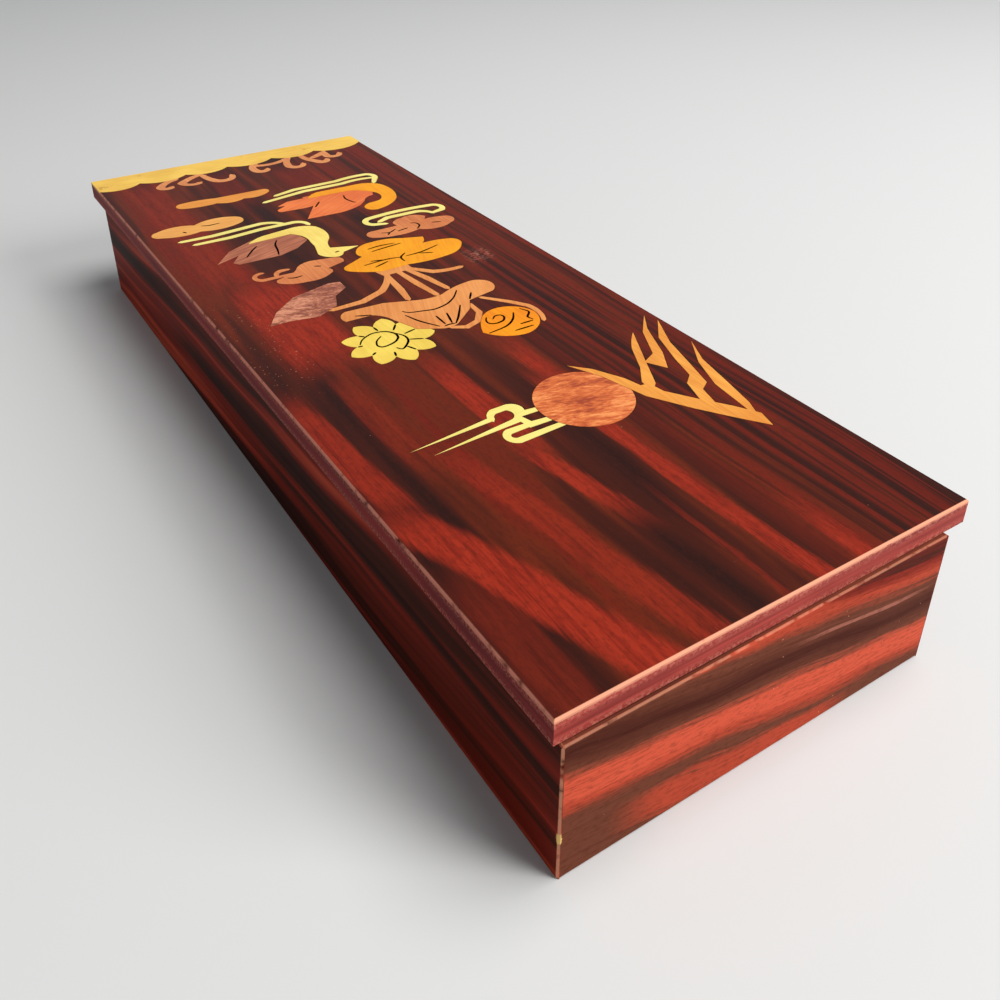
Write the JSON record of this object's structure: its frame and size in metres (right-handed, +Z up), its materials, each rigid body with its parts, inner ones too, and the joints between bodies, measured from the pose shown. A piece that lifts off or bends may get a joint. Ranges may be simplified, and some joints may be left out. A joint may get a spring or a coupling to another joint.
{
  "type": "ink stick and stone box",
  "caption": "Long low wooden box with a lift-off marquetry lid, divided inside for an ink stone, an ink stick and brushes.",
  "frame": {"origin": "centre of the box's underside, on the face that it rests on", "axes": "+Z up; +Y along the box towards the lid's bordered end; +X across, to the right seen from the plain end"},
  "size_m": [0.11, 0.3091, 0.042],
  "materials": {
    "striped_veneer": "satin",
    "wall_core": "satin",
    "lid_edge_lacquer": "satin",
    "plain_board": "matte",
    "fitting_wood": "satin",
    "felt": "matte",
    "slate": "satin",
    "pressed_ink": "matte",
    "yellow_inlay": "satin",
    "cream_inlay": "satin",
    "golden_inlay": "satin",
    "peach_inlay": "satin",
    "burl_inlay": "satin"
  },
  "bodies": {
    "box": {"back_veneer": "striped_veneer", "back_wall": "wall_core", "bottom_board": "plain_board", "brush_rest_back": "fitting_wood", "brush_rest_front": "fitting_wood", "cross_divider": "fitting_wood", "floor_felt": "felt", "front_veneer": "striped_veneer", "front_wall": "wall_core", "left_veneer": "striped_veneer", "left_wall": "wall_core", "long_divider": "fitting_wood", "right_veneer": "striped_veneer", "right_wall": "wall_core", "stick_rest_back": "fitting_wood", "stick_rest_front": "fitting_wood"},
    "lid": {"lid_back_veneer": "plain_board", "lid_batten_back": "plain_board", "lid_batten_front": "plain_board", "lid_batten_left": "plain_board", "lid_batten_right": "plain_board", "lid_core": "plain_board", "lid_ground": "striped_veneer", "lid_lipping_back": "lid_edge_lacquer", "lid_lipping_front": "lid_edge_lacquer", "lid_lipping_left": "lid_edge_lacquer", "lid_lipping_right": "lid_edge_lacquer", "bird_neck": "golden_inlay", "bird_wing": "peach_inlay", "border_band": "yellow_inlay", "bud_stem": "peach_inlay", "burl_leaf": "burl_inlay", "cloud_scroll": "cream_inlay", "crane_neck": "cream_inlay", "crane_wing": "burl_inlay", "curled_cloud": "peach_inlay", "folded_leaf": "peach_inlay", "hook_scrolls": "peach_inlay", "lobed_cloud": "peach_inlay", "long_cloud": "golden_inlay", "lotus_bud": "golden_inlay", "lotus_flower": "yellow_inlay", "lotus_leaf": "golden_inlay", "lotus_stems": "peach_inlay", "moon": "burl_inlay", "moon_branch": "peach_inlay", "ribbon_over_bird": "cream_inlay", "ribbon_over_cloud": "cream_inlay", "ribbon_over_crane": "cream_inlay", "twin_cloud": "peach_inlay"},
    "stone": {"ink_stone": "slate"},
    "stick": {"ink_stick": "pressed_ink"}
  },
  "joints": [
    {"name": "lid_lift", "type": "slide", "parent": "box", "child": "lid", "axis": [0, 0, 1], "range_m": [0, 0.14]},
    {"name": "stone_lift", "type": "slide", "parent": "box", "child": "stone", "axis": [0, 0, 1], "range_m": [0, 0.01]},
    {"name": "stick_lift", "type": "slide", "parent": "box", "child": "stick", "axis": [0, 0, 1], "range_m": [0, 0.012]}
  ]
}
